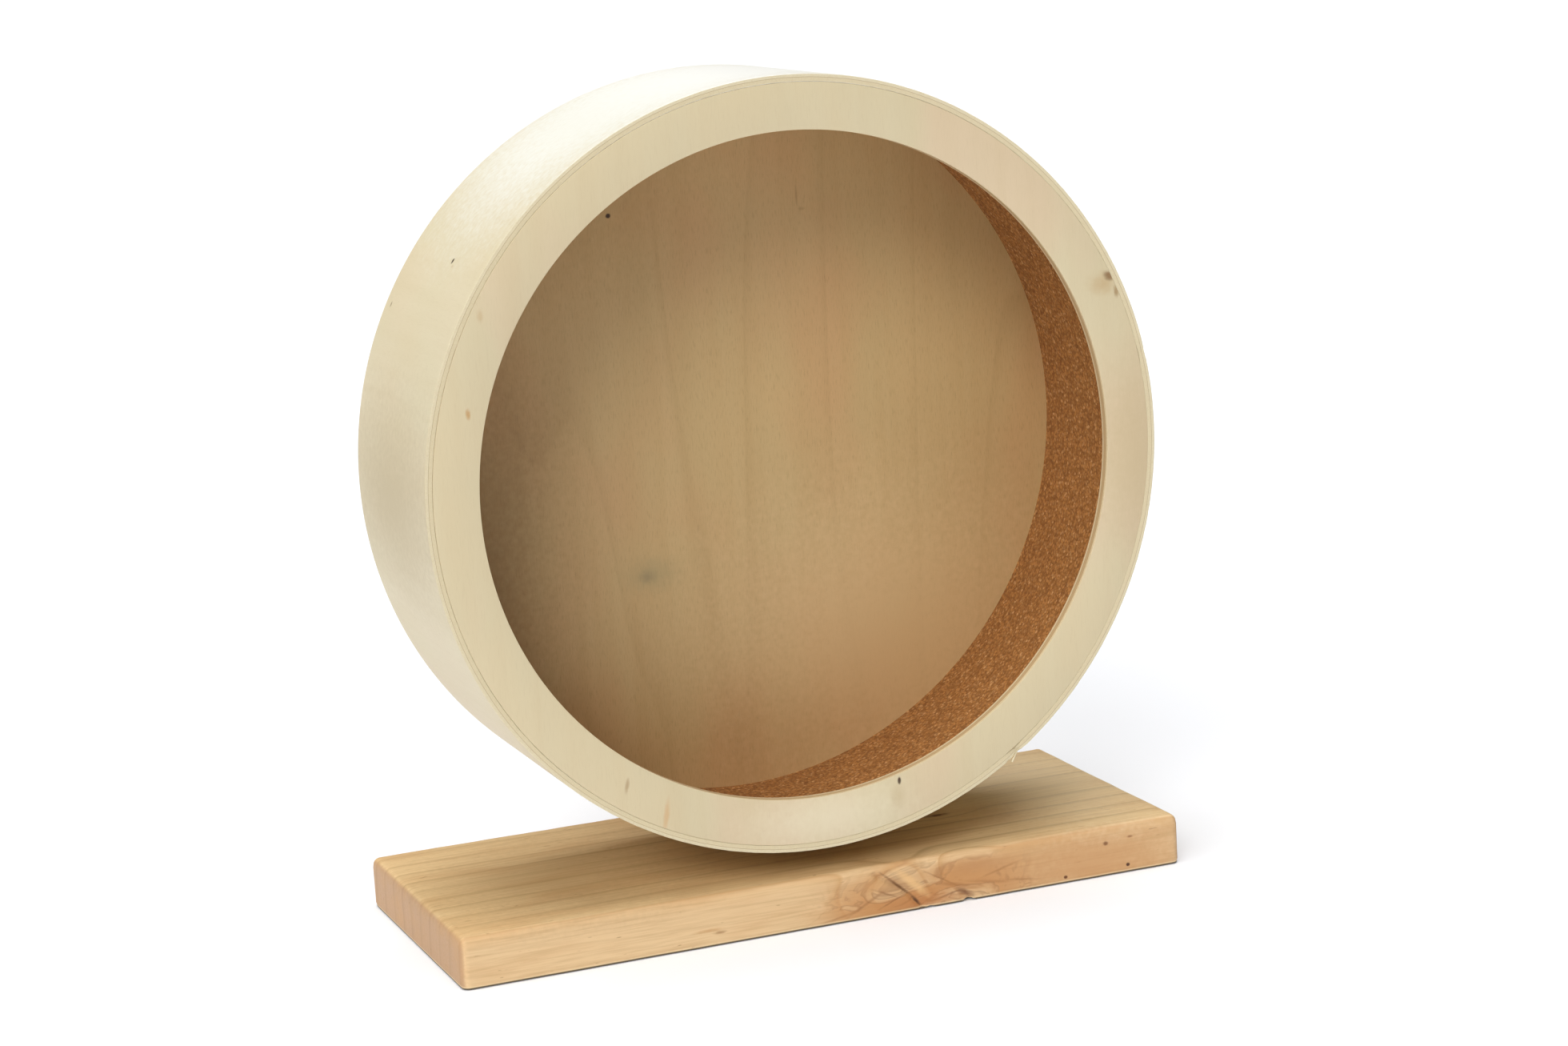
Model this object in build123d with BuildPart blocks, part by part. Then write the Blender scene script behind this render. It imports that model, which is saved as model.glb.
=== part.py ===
from build123d import *
import math
import os

# Exercise wheel for a small rodent: a plywood drum lined with cork, turning on a ball-bearing
# axle in a pine post that stands on a pine base board. All sizes are millimetres.
# The origin is the middle of the base board's underside. +X runs along the board, +Y points
# from the open front of the drum back to the post, and +Z is up.

# Base board of planed pine, with sanded corners and edges
base_length = 294.0
base_thickness = 20.0
base_rear_margin = 2.5  # board left behind the post
base_corner_round = 3.2
base_top_round = 3.0
base_underside_ease = 0.6

# Drum
drum_diameter = 290.0
drum_width = 91.0
drum_offset = -2.0  # the drum and post stand a little left of the board's middle
drum_gap = 10.5  # air between the drum and the base board
hoop_thickness = 3.0
front_ring_thickness = 4.5
front_ring_width = 17.25
back_disc_thickness = 9.0
cork_thickness = 3.0
plywood_ease = 0.4

# Hub block behind the back disc, glued and screwed to it
hub_diameter = 80.0
hub_thickness = 8.5
hub_ease = 1.2
hub_screw_diameter = 3.5
hub_screw_length = 15.0
hub_screw_circle = 56.0
hub_screw_count = 4

# Post behind the drum, screwed to the base from below
post_width = 64.0
post_thickness = 18.0
post_ease = 1.5
post_web_hole_diameter = 16.0
post_screw_diameter = 4.5
post_screw_length = 60.0
post_screw_spacing = 36.0

# Countersunk wood screws
screw_head_ratio = 2.0  # head diameter over shank diameter
screw_head_inset = 0.2
screw_core_ratio = 0.7  # tip of the shank over its full diameter
screw_fit = 0.05

# Axle: a carriage bolt that the hub block holds by its square neck
axle_diameter = 8.0
axle_length = 35.0
axle_head_diameter = 20.0
axle_head_height = 4.6
axle_head_rim = 0.6
axle_head_room = 0.4
axle_neck_fit = 0.1
axle_neck_relief = 0.2
axle_fit = 0.05
axle_tip_chamfer = 0.8

# Turned pieces threaded on the axle
hub_washer_diameter = 24.0
hub_washer_thickness = 1.5
front_spacer_thickness = 1.5
spacer_wall = 2.0
rear_shim_thickness = 1.0
turned_chamfer = 0.2

# Self-locking nut with its nylon ring
nut_across_flats = 13.0
nut_height = 8.0
nut_hexagon_height = 5.6
nut_collar_wall = 1.9
nut_insert_wall = 1.0
nut_insert_height = 1.7
nut_lip = 0.5
nut_fit = 0.02

# Deep-groove ball bearings with steel shields
bearing_diameter = 22.0
bearing_width = 7.0
bearing_corner = 0.3
bearing_seat_fit = 0.02
ball_count = 7
ball_diameter = 3.969
ball_fit = 0.03
groove_conformity = 0.52  # groove radius over ball diameter
groove_depth = 0.6
shield_thickness = 0.3
shield_inset = 0.25
shield_step = 0.5
shield_gap = 0.3
cage_wall = 1.6
cage_pocket_fit = 0.1
cage_claw = 1.0

# Places worked out from the sizes above
drum_radius = drum_diameter / 2
hoop_inner_radius = drum_radius - hoop_thickness
axle_radius = axle_diameter / 2
axle_height = base_thickness + drum_gap + drum_radius
front_opening_radius = hoop_inner_radius - front_ring_width
axle_stack = drum_width + hub_thickness + hub_washer_thickness + front_spacer_thickness + post_thickness
base_depth = axle_stack + base_rear_margin
drum_front = -base_depth / 2  # the drum's open face is flush with the board's front edge
drum_back = drum_front + drum_width
disc_front = drum_back - back_disc_thickness
hub_back = drum_back + hub_thickness
washer_back = hub_back + hub_washer_thickness
post_front = washer_back + front_spacer_thickness
post_back = post_front + post_thickness
pocket_floor = post_front + bearing_width
rear_pocket_floor = post_back - bearing_width
post_middle = (post_front + post_back) / 2
shim_back = post_back + rear_shim_thickness
nut_back = shim_back + nut_height
head_seat = drum_back + axle_head_height + axle_head_room
spin_axis = Axis((drum_offset, 0, axle_height), (0, 1, 0))
axle_section = Plane((drum_offset, 0, axle_height))  # local X is the radius, local Y the world Y

os.makedirs("parts", exist_ok=True)


def across(y):
    """The plane square to the axle at the given Y, facing forwards, with local Y up."""
    return Plane((drum_offset, y, axle_height), x_dir=(1, 0, 0), z_dir=(0, -1, 0))


def behind(y):
    """The plane square to the axle at the given Y, facing backwards."""
    return Plane((drum_offset, y, axle_height), x_dir=(1, 0, 0), z_dir=(0, 1, 0))


def under_post(z):
    """The level plane at the given Z below the middle of the post, facing down."""
    return Plane((drum_offset, post_middle, z), x_dir=(1, 0, 0), z_dir=(0, 0, -1))


def hub_screw_places():
    """The hub screws' even circle, about the axle."""
    return PolarLocations(hub_screw_circle / 2, hub_screw_count, start_angle=180 / hub_screw_count)


def post_screw_places():
    """The two post screws, side by side along the board."""
    return GridLocations(post_screw_spacing, 0, 2, 1)


def ring_profile(inner, outer, front, back):
    """A rectangle in the axle section, which a turn about the axle makes into a ring."""
    with Locations((inner, front)):
        Rectangle(outer - inner, back - front, align=(Align.MIN, Align.MIN))


def countersunk_screw(diameter, length):
    """A wood screw along local Z, from its flat head to its point, without its thread."""
    head_radius = diameter * screw_head_ratio / 2
    head_height = head_radius - diameter / 2
    point_height = diameter
    low = (Align.CENTER, Align.CENTER, Align.MIN)
    with Locations((0, 0, screw_head_inset)):
        Cone(head_radius, diameter / 2, head_height, align=low)
    with Locations((0, 0, screw_head_inset + head_height)):
        Cylinder(diameter / 2, length - head_height - point_height, align=low)
    with Locations((0, 0, screw_head_inset + length - point_height)):
        Cone(diameter / 2, diameter * (1 - screw_core_ratio) / 2, point_height, align=low)


def screw_hole_radius(diameter):
    """Radius of the hole that a screw's shank fills."""
    return diameter / 2 + screw_fit


def screw_sink_radius(diameter):
    """Mouth radius of the countersink that takes a screw's head a little below the surface."""
    return diameter * screw_head_ratio / 2 + screw_head_inset + screw_fit


# Base board, with the two countersunk holes for the post's screws
with BuildPart() as base_board:
    with BuildSketch(Plane.XY):
        RectangleRounded(base_length, base_depth, base_corner_round)
    extrude(amount=base_thickness)
    fillet(base_board.edges().group_by(Axis.Z)[-1], min(base_top_round, 0.95 * base_corner_round))
    chamfer(base_board.edges().group_by(Axis.Z)[0], base_underside_ease)
    with Locations(under_post(0)):
        with post_screw_places():
            CounterSinkHole(
                screw_hole_radius(post_screw_diameter),
                screw_sink_radius(post_screw_diameter),
                counter_sink_angle=90,
            )
base_board.part.label = "base_board"
export_step(base_board.part, "parts/base_board.step")

# Post, with an arched top round the axle and a pocket for a bearing in each face
with BuildPart() as upright_post:
    with BuildSketch(across(post_front)):
        Circle(post_width / 2)
        Rectangle(post_width, axle_height - base_thickness, align=(Align.CENTER, Align.MAX))
    extrude(amount=-post_thickness)
    face_edges = upright_post.faces().filter_by(Axis.Y).edges()
    foot_edges = upright_post.faces().sort_by(Axis.Z)[0].edges()
    chamfer([edge for edge in face_edges if edge not in foot_edges], post_ease)
    for pocket_front in (post_front, rear_pocket_floor):
        with BuildSketch(across(pocket_front)):
            Circle(bearing_diameter / 2 + bearing_seat_fit)
        extrude(amount=-bearing_width, mode=Mode.SUBTRACT)
    with BuildSketch(across(post_front)):
        Circle(post_web_hole_diameter / 2)
    extrude(amount=-post_thickness, mode=Mode.SUBTRACT)
    with Locations(under_post(base_thickness)):
        with post_screw_places():
            Hole(
                screw_hole_radius(post_screw_diameter),
                depth=screw_head_inset + post_screw_length - base_thickness + screw_fit,
            )
upright_post.part.label = "upright_post"
export_step(upright_post.part, "parts/upright_post.step")

# The two long screws that come up through the base into the post
with BuildPart(Plane((drum_offset, post_middle, 0))) as post_screws:
    with post_screw_places():
        countersunk_screw(post_screw_diameter, post_screw_length)
post_screws.part.label = "post_screws"
export_step(post_screws.part, "parts/post_screws.step")

# Hoop of thin plywood bent round the drum
with BuildPart() as rim_band:
    with BuildSketch(axle_section):
        ring_profile(hoop_inner_radius, drum_radius, drum_front, drum_back)
    revolve(axis=spin_axis)
    chamfer(rim_band.edges().filter_by(GeomType.CIRCLE), plywood_ease)
rim_band.part.label = "rim_band"
export_step(rim_band.part, "parts/rim_band.step")

# Plywood ring let into the front of the hoop, which keeps the animal's feet inside
with BuildPart() as front_ring:
    with BuildSketch(across(drum_front)):
        Circle(hoop_inner_radius)
        Circle(front_opening_radius, mode=Mode.SUBTRACT)
    extrude(amount=-front_ring_thickness)
    opening_edges = front_ring.edges().filter_by(GeomType.CIRCLE).sort_by(SortBy.RADIUS)[:2]
    chamfer(opening_edges, plywood_ease)
front_ring.part.label = "front_ring"
export_step(front_ring.part, "parts/front_ring.step")

# Cork running surface between the front ring and the back disc
with BuildPart() as cork_lining:
    with BuildSketch(axle_section):
        ring_profile(
            hoop_inner_radius - cork_thickness,
            hoop_inner_radius,
            drum_front + front_ring_thickness,
            disc_front,
        )
    revolve(axis=spin_axis)
cork_lining.part.label = "cork_lining"
export_step(cork_lining.part, "parts/cork_lining.step")

# Back disc, with blind holes for the screws that come through the hub block
with BuildPart() as back_disc:
    with BuildSketch(across(disc_front)):
        Circle(hoop_inner_radius)
    extrude(amount=-back_disc_thickness)
    with Locations(behind(drum_back)):
        with hub_screw_places():
            Hole(
                screw_hole_radius(hub_screw_diameter),
                depth=screw_head_inset + hub_screw_length - hub_thickness + screw_fit,
            )
back_disc.part.label = "back_disc"
export_step(back_disc.part, "parts/back_disc.step")

# Hub block: a round of plywood with a recess for the bolt's head and a square hole for its neck
with BuildPart() as hub_block:
    with BuildSketch(across(drum_back)):
        Circle(hub_diameter / 2)
    extrude(amount=-hub_thickness)
    chamfer(hub_block.faces().sort_by(Axis.Y)[-1].edges(), hub_ease)
    with BuildSketch(across(drum_back)):
        Circle(axle_head_diameter / 2 + axle_head_room)
    extrude(amount=-(axle_head_height + axle_head_room), mode=Mode.SUBTRACT)
    with BuildSketch(across(drum_back)):
        Rectangle(axle_diameter + axle_neck_fit, axle_diameter + axle_neck_fit)
    extrude(amount=-hub_thickness, mode=Mode.SUBTRACT)
    with Locations(behind(hub_back)):
        with hub_screw_places():
            CounterSinkHole(
                screw_hole_radius(hub_screw_diameter),
                screw_sink_radius(hub_screw_diameter),
                counter_sink_angle=90,
            )
hub_block.part.label = "hub_block"
export_step(hub_block.part, "parts/hub_block.step")

# Screws from the back of the hub block into the back disc, short of its front face
with BuildPart(across(hub_back)) as hub_screws:
    with hub_screw_places():
        countersunk_screw(hub_screw_diameter, hub_screw_length)
hub_screws.part.label = "hub_screws"
export_step(hub_screws.part, "parts/hub_screws.step")

# Carriage bolt: a domed head, a square neck that can't turn in the hub block, and a plain shank
head_rise = axle_head_height - axle_head_rim
dome_radius = ((axle_head_diameter / 2) ** 2 + head_rise**2) / (2 * head_rise)
head_front = head_seat - axle_head_height
with BuildPart() as axle_bolt:
    with BuildSketch(axle_section):
        with BuildLine():
            dome = RadiusArc(
                (axle_head_diameter / 2, head_front + head_rise), (0, head_front), dome_radius
            )
            Polyline(
                dome @ 1,
                (0, head_seat + axle_length),
                (axle_radius - axle_fit - axle_tip_chamfer, head_seat + axle_length),
                (axle_radius - axle_fit, head_seat + axle_length - axle_tip_chamfer),
                (axle_radius - axle_fit, head_seat),
                (axle_head_diameter / 2, head_seat),
                dome @ 0,
            )
        make_face()
    revolve(axis=spin_axis)
    with BuildSketch(across(head_seat)):
        Rectangle(axle_diameter, axle_diameter)
    extrude(amount=-(hub_back - head_seat - axle_neck_relief))
axle_bolt.part.label = "axle_bolt"
export_step(axle_bolt.part, "parts/axle_bolt.step")

# Plain rings on the axle, from the hub block to the nut: name, wall, front and back
spacer_radius = axle_radius + spacer_wall
axle_rings = (
    ("hub_washer", hub_washer_diameter / 2, hub_back, washer_back),
    ("front_spacer_ring", spacer_radius, washer_back, post_front),
    ("bearing_spacer_sleeve", spacer_radius, pocket_floor, rear_pocket_floor),
    ("rear_shim_washer", spacer_radius, post_back, shim_back),
)
for ring_name, ring_radius, ring_front, ring_back in axle_rings:
    with BuildPart() as axle_ring:
        with BuildSketch(axle_section):
            ring_profile(axle_radius, ring_radius, ring_front, ring_back)
        revolve(axis=spin_axis)
        outer_edges = axle_ring.edges().filter_by(GeomType.CIRCLE).sort_by(SortBy.RADIUS)[-2:]
        chamfer(outer_edges, turned_chamfer)
    axle_ring.part.label = ring_name
    export_step(axle_ring.part, f"parts/{ring_name}.step")

# Self-locking nut: a hexagon with a chamfered back, and a round collar that holds a nylon ring
insert_inner_radius = axle_radius - axle_fit + nut_fit
insert_outer_radius = insert_inner_radius + nut_insert_wall
insert_back = nut_back - nut_lip
insert_front = insert_back - nut_insert_height
with BuildPart() as lock_nut:
    with BuildSketch(across(shim_back)):
        RegularPolygon(nut_across_flats / 2, 6, major_radius=False)
    extrude(amount=-nut_hexagon_height)
    with BuildSketch(axle_section):
        with BuildLine():
            corner_radius = nut_across_flats / math.sqrt(3)
            corner_bevel = (corner_radius - nut_across_flats / 2) / 2
            Polyline(
                (0, shim_back),
                (nut_across_flats / 2, shim_back),
                (corner_radius, shim_back + corner_bevel),
                (corner_radius, shim_back + nut_hexagon_height - corner_bevel),
                (nut_across_flats / 2, shim_back + nut_hexagon_height),
                (0, shim_back + nut_hexagon_height),
                close=True,
            )
        make_face()
    revolve(axis=spin_axis, mode=Mode.INTERSECT)
    with BuildSketch(axle_section):
        ring_profile(0, axle_radius + nut_collar_wall, shim_back + nut_hexagon_height, nut_back)
    revolve(axis=spin_axis)
    collar_rim = lock_nut.faces().sort_by(Axis.Y)[-1].edges()
    fillet(collar_rim, nut_lip)
    with BuildSketch(axle_section):
        ring_profile(0, axle_radius, shim_back, nut_back)
        ring_profile(0, insert_outer_radius + nut_fit, insert_front - nut_fit, insert_back + nut_fit)
    revolve(axis=spin_axis, mode=Mode.SUBTRACT)
lock_nut.part.label = "lock_nut"
export_step(lock_nut.part, "parts/lock_nut.step")

with BuildPart() as lock_nut_insert:
    with BuildSketch(axle_section):
        ring_profile(insert_inner_radius, insert_outer_radius, insert_front, insert_back)
    revolve(axis=spin_axis)
lock_nut_insert.part.label = "lock_nut_insert"
export_step(lock_nut_insert.part, "parts/lock_nut_insert.step")

# Ball bearings. Each ring's groove follows the balls' circle, opened by a small running fit
ball_radius = ball_diameter / 2
pitch_radius = (bearing_diameter + axle_diameter) / 4
groove_radius = ball_diameter * groove_conformity
inner_groove_bottom = pitch_radius - ball_radius - ball_fit
outer_groove_bottom = pitch_radius + ball_radius + ball_fit
inner_shoulder = inner_groove_bottom + groove_depth
outer_shoulder = outer_groove_bottom - groove_depth
shield_seat = outer_shoulder + shield_step
shield_depth = shield_inset + shield_thickness
cage_back = bearing_width / 2 - shield_depth - shield_gap

bearing_fronts = (("front", post_front), ("rear", rear_pocket_floor))
for side, bearing_front in bearing_fronts:
    bearing_back = bearing_front + bearing_width
    bearing_middle = (bearing_front + bearing_back) / 2

    with BuildPart() as inner_ring:
        with BuildSketch(axle_section):
            ring_profile(axle_radius, inner_shoulder, bearing_front, bearing_back)
            with Locations((inner_groove_bottom + groove_radius, bearing_middle)):
                Circle(groove_radius, mode=Mode.SUBTRACT)
        revolve(axis=spin_axis)
        bore_edges = inner_ring.edges().filter_by(GeomType.CIRCLE).sort_by(SortBy.RADIUS)[:2]
        chamfer(bore_edges, bearing_corner)
    inner_ring.part.label = f"{side}_bearing_inner_ring"
    export_step(inner_ring.part, f"parts/{side}_bearing_inner_ring.step")

    with BuildPart() as outer_ring:
        with BuildSketch(axle_section):
            ring_profile(outer_shoulder, bearing_diameter / 2, bearing_front, bearing_back)
            with Locations((outer_groove_bottom - groove_radius, bearing_middle)):
                Circle(groove_radius, mode=Mode.SUBTRACT)
            for seat_front in (bearing_front, bearing_back - shield_depth):
                with Locations((outer_shoulder, seat_front)):
                    Rectangle(
                        shield_step, shield_depth, align=(Align.MIN, Align.MIN), mode=Mode.SUBTRACT
                    )
        revolve(axis=spin_axis)
        seat_edges = outer_ring.edges().filter_by(GeomType.CIRCLE).sort_by(SortBy.RADIUS)[-2:]
        chamfer(seat_edges, bearing_corner)
    outer_ring.part.label = f"{side}_bearing_outer_ring"
    export_step(outer_ring.part, f"parts/{side}_bearing_outer_ring.step")

    with BuildPart() as shields:
        with BuildSketch(axle_section):
            for shield_front in (bearing_front + shield_inset, bearing_back - shield_depth):
                ring_profile(
                    inner_shoulder + shield_gap,
                    shield_seat - bearing_seat_fit,
                    shield_front,
                    shield_front + shield_thickness,
                )
        revolve(axis=spin_axis)
    shields.part.label = f"{side}_bearing_shields"
    export_step(shields.part, f"parts/{side}_bearing_shields.step")

    with BuildPart(across(bearing_middle)) as balls:
        with PolarLocations(pitch_radius, ball_count):
            Sphere(ball_radius)
    balls.part.label = f"{side}_bearing_balls"
    export_step(balls.part, f"parts/{side}_bearing_balls.step")

    with BuildPart(across(bearing_middle)) as cage:
        with BuildSketch(across(bearing_middle + cage_back)):
            Circle(pitch_radius + cage_wall / 2)
            Circle(pitch_radius - cage_wall / 2, mode=Mode.SUBTRACT)
        extrude(amount=cage_back + cage_claw)
        with PolarLocations(pitch_radius, ball_count):
            Sphere(ball_radius + cage_pocket_fit, mode=Mode.SUBTRACT)
    cage.part.label = f"{side}_bearing_cage"
    export_step(cage.part, f"parts/{side}_bearing_cage.step")
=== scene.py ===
import math

import bpy
from mathutils import Matrix, Vector


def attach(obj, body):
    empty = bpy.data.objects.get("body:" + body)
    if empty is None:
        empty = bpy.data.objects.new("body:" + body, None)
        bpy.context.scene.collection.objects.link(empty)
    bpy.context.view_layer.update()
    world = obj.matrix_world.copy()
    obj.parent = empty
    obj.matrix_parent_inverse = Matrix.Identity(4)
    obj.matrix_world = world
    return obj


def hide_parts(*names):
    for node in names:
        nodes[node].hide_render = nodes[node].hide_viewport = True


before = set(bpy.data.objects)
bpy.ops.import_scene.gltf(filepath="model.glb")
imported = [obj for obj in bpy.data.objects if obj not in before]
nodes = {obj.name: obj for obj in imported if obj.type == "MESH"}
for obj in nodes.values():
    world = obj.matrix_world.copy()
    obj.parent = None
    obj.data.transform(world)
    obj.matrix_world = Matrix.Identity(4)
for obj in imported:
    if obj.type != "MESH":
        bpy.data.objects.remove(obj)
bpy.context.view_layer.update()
mm = 0.001
print("frame loaded:", len(nodes), "nodes")

# Sizes below are millimetres in the frame's own axes, as in the CAD source
wheel = {"axleX": -2.0, "axleZ": 175.5, "front": -61.5, "back": 29.5, "radius": 145.0}


# Small tools

def paint(code):  # sRGB hex to the linear colour a shader takes
    parts = [int(code[i:i + 2], 16) / 255 for i in (0, 2, 4)]
    return (*[c / 12.92 if c <= 0.04045 else ((c + 0.055) / 1.055) ** 2.4 for c in parts], 1)


def metres(*lengths):
    return tuple(length * mm for length in lengths)


def addNode(tree, kind, settings=None):  # a socket among the settings becomes a link
    node = tree.nodes.new("ShaderNode" + kind)
    for key, value in (settings or {}).items():
        if key == "stops":
            while len(node.color_ramp.elements) < len(value):
                node.color_ramp.elements.new(0.5)
            for stop, (position, shade) in zip(node.color_ramp.elements, value):
                stop.position = position
                stop.color = shade if isinstance(shade, tuple) else (shade, shade, shade, 1)
        elif isinstance(key, str) and hasattr(node, key):
            setattr(node, key, value)
        elif isinstance(value, bpy.types.NodeSocket):
            tree.links.new(value, node.inputs[key])
        else:
            node.inputs[key].default_value = value
    return node


def newMaterial(name, roughness, metallic=0.0, ior=1.5):
    material = bpy.data.materials.new(name)
    material.use_nodes = True
    tree = material.node_tree
    tree.nodes.clear()
    shader = addNode(tree, "BsdfPrincipled", {"Roughness": roughness, "Metallic": metallic, "IOR": ior})
    addNode(tree, "OutputMaterial", {"Surface": shader.outputs[0]})
    return material, tree, shader


def clearSelection():
    if bpy.context.object and bpy.context.object.mode != "OBJECT":
        bpy.ops.object.mode_set(mode="OBJECT")
    bpy.ops.object.select_all(action="DESELECT")


def named(name):
    piece = bpy.context.object
    piece.name = name
    piece.data.name = name
    return piece


def makeActive(piece):
    clearSelection()
    piece.select_set(True)
    bpy.context.view_layer.objects.active = piece


def settle(piece):  # the object goes back to the origin and its place goes into the mesh
    makeActive(piece)
    bpy.ops.object.transform_apply(location=True, rotation=True, scale=True)


def joined(first, *others):
    makeActive(first)
    for other in others:
        other.select_set(True)
    bpy.ops.object.join()
    return first


def editAll(piece):  # edit mode with the whole mesh selected
    makeActive(piece)
    bpy.ops.object.mode_set(mode="EDIT")
    bpy.ops.mesh.select_all(action="SELECT")


def pick(piece, kind, test):  # selects edges or faces by place and normal, in edit mode
    makeActive(piece)
    bpy.ops.object.mode_set(mode="EDIT")
    bpy.ops.mesh.select_mode(type=kind)
    bpy.ops.mesh.select_all(action="DESELECT")
    bpy.ops.object.mode_set(mode="OBJECT")
    mesh = piece.data
    if kind == "EDGE":
        for edge in mesh.edges:
            one, two = (mesh.vertices[i].co / mm for i in edge.vertices)
            edge.select = bool(test(one, two))
    else:
        for face in mesh.polygons:
            face.select = bool(test(face.center / mm, face.normal))
    bpy.ops.object.mode_set(mode="EDIT")


def onPlane(axis, level, *points):  # whether all the points lie at a level along an axis
    return all(abs(point[axis] - level) < 0.01 for point in points)


def bevelEdges(piece, amount, segments, test):
    pick(piece, "EDGE", test)
    bpy.ops.mesh.bevel(offset=amount * mm, segments=segments, affect="EDGES")
    bpy.ops.object.mode_set(mode="OBJECT")


def cutAcross(piece, axis, levels):  # adds flat cuts square to an axis, through the whole piece
    makeActive(piece)
    bpy.ops.object.mode_set(mode="EDIT")
    for level in levels:
        bpy.ops.mesh.select_all(action="SELECT")
        normal = Vector((0, 0, 0))
        normal[axis] = 1
        bpy.ops.mesh.bisect(plane_co=normal * level * mm, plane_no=normal, threshold=0.001 * mm)
    bpy.ops.object.mode_set(mode="OBJECT")


def applyModifier(piece, kind, **settings):
    makeActive(piece)
    modifier = piece.modifiers.new(kind.lower(), kind)
    for key, value in settings.items():
        setattr(modifier, key, value)
    bpy.ops.object.modifier_apply(modifier=modifier.name)


def carve(piece, cutter):  # takes the cutter out of the piece
    applyModifier(piece, "BOOLEAN", object=cutter, operation="DIFFERENCE", solver="EXACT")
    bpy.data.objects.remove(cutter)


def addBlock(name, size, middle, spin=0.0):  # a box, turned about Z by spin
    clearSelection()
    bpy.ops.mesh.primitive_cube_add(size=1, location=metres(*middle), rotation=(0, 0, spin))
    block = named(name)
    block.scale = metres(*size)
    settle(block)
    return block


def addDowel(name, radius, front, back, vertices, x=wheel["axleX"], z=wheel["axleZ"]):
    # a cylinder square to the drum's face, on the axle unless x and z say otherwise
    clearSelection()
    bpy.ops.mesh.primitive_cylinder_add(vertices=vertices, radius=radius * mm, depth=(back - front) * mm,
                                        location=metres(x, (front + back) / 2, z),
                                        rotation=(math.pi / 2, 0, 0))
    return named(name)


def addCone(name, low, high, bottom, top, x=0.0, y=0.0):  # upright, with a lower and an upper radius
    clearSelection()
    bpy.ops.mesh.primitive_cone_add(vertices=48, radius1=low * mm, radius2=high * mm,
                                    depth=(top - bottom) * mm, location=metres(x, y, (top + bottom) / 2))
    return named(name)


def dent(piece, weightAt, depth, direction="NORMAL", grain=None, level=0.0):
    # presses a weighted patch of the surface in by up to depth mm, evenly or by a cloud pattern
    group = piece.vertex_groups.new(name="dent")
    for point in piece.data.vertices:
        weight = weightAt(point.co / mm, point.normal)
        if weight > 0:
            group.add([point.index], min(weight, 1.0), "REPLACE")
    settings = {"vertex_group": "dent", "strength": -depth * mm, "direction": direction,
                "mid_level": level, "texture_coords": "LOCAL"}
    if grain:
        cloud = bpy.data.textures.new("grainCloud", "CLOUDS")
        cloud.noise_scale = grain * mm
        cloud.noise_depth = 2
        settings["texture"] = cloud
    applyModifier(piece, "DISPLACE", **settings)
    piece.vertex_groups.remove(piece.vertex_groups["dent"])


def smoothed(piece, angle=35):
    makeActive(piece)
    bpy.ops.object.shade_smooth_by_angle(angle=math.radians(angle))
    return piece


def paintFaces(piece, materials, chooser=None):
    for material in materials:
        piece.data.materials.append(material)
    for face in piece.data.polygons:
        face.material_index = chooser(face.center / mm, face.normal) if chooser else 0


def place(piece, body, slot, *replaced):
    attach(piece, body)
    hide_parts(*replaced)
    print("made", piece.name, len(piece.data.polygons), "faces")


def axleDistance(spot):
    return math.hypot(spot.x - wheel["axleX"], spot.z - wheel["axleZ"])


def axleAngle(spot):  # degrees round the axle, 0 towards +X and 90 up
    return math.degrees(math.atan2(spot.z - wheel["axleZ"], spot.x - wheel["axleX"]))


# Camera, floor and studio light

cameraLook = {"place": (-0.46381, -1.22859, 0.40071), "azimuth": -21.185, "elevation": 11.032,
              "roll": -3.419, "lens": 79.425, "film": 36.0}
studio = {
    "floor": "f0f1f4", "floorGlow": 0.08, "floorSide": 40.0, "airHorizon": 0.00, "airZenith": 0.02,
    "suns": [
        {"name": "overheadLight", "from": (0, 0, 1), "spread": 50, "strength": 1.97},
        {"name": "rightOverheadLight", "from": (0.35, 0.25, 1), "spread": 70, "strength": 0.09},
        {"name": "highKeyLight", "from": (-0.5, -0.8, 0.65), "spread": 25, "strength": 0.99},
        {"name": "leftLight", "from": (-0.8, -0.45, 0.5), "spread": 40, "strength": 0.47},
        {"name": "leftOverheadLight", "from": (-0.45, -0.3, 1), "spread": 90, "strength": 1.04},
    ],
}

scene = bpy.context.scene
scene.view_settings.view_transform = "Standard"
scene.view_settings.look = "None"

turn, rise, roll = (math.radians(cameraLook[key]) for key in ("azimuth", "elevation", "roll"))
backward = Vector((math.sin(turn) * math.cos(rise), -math.cos(turn) * math.cos(rise), math.sin(rise)))
sideways = (-backward).cross(Vector((0, 0, 1))).normalized()
upward = sideways.cross(-backward)
cameraX = sideways * math.cos(roll) + upward * math.sin(roll)
cameraY = upward * math.cos(roll) - sideways * math.sin(roll)
clearSelection()
bpy.ops.object.camera_add(location=cameraLook["place"])
camera = bpy.context.object
camera.name = "camera"
grid = [[cameraX[i], cameraY[i], backward[i], cameraLook["place"][i]] for i in range(3)]
camera.matrix_world = Matrix((*grid, (0, 0, 0, 1)))
camera.data.sensor_width = cameraLook["film"]
camera.data.lens = cameraLook["lens"]
camera.data.clip_end = 100
scene.camera = camera

bpy.ops.mesh.primitive_plane_add(size=studio["floorSide"])
floor = named("studioFloor")
floorPaper, tree, shader = newMaterial("whiteStudioPaper", 0.9)  # matt paper, no sheen
shader.inputs["Base Color"].default_value = paint(studio["floor"])
shader.inputs["Specular IOR Level"].default_value = 0.1
shader.inputs["Emission Color"].default_value = paint("ffffff")  # lit from below, as on a light table
shader.inputs["Emission Strength"].default_value = studio["floorGlow"]
floor.data.materials.append(floorPaper)

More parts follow.
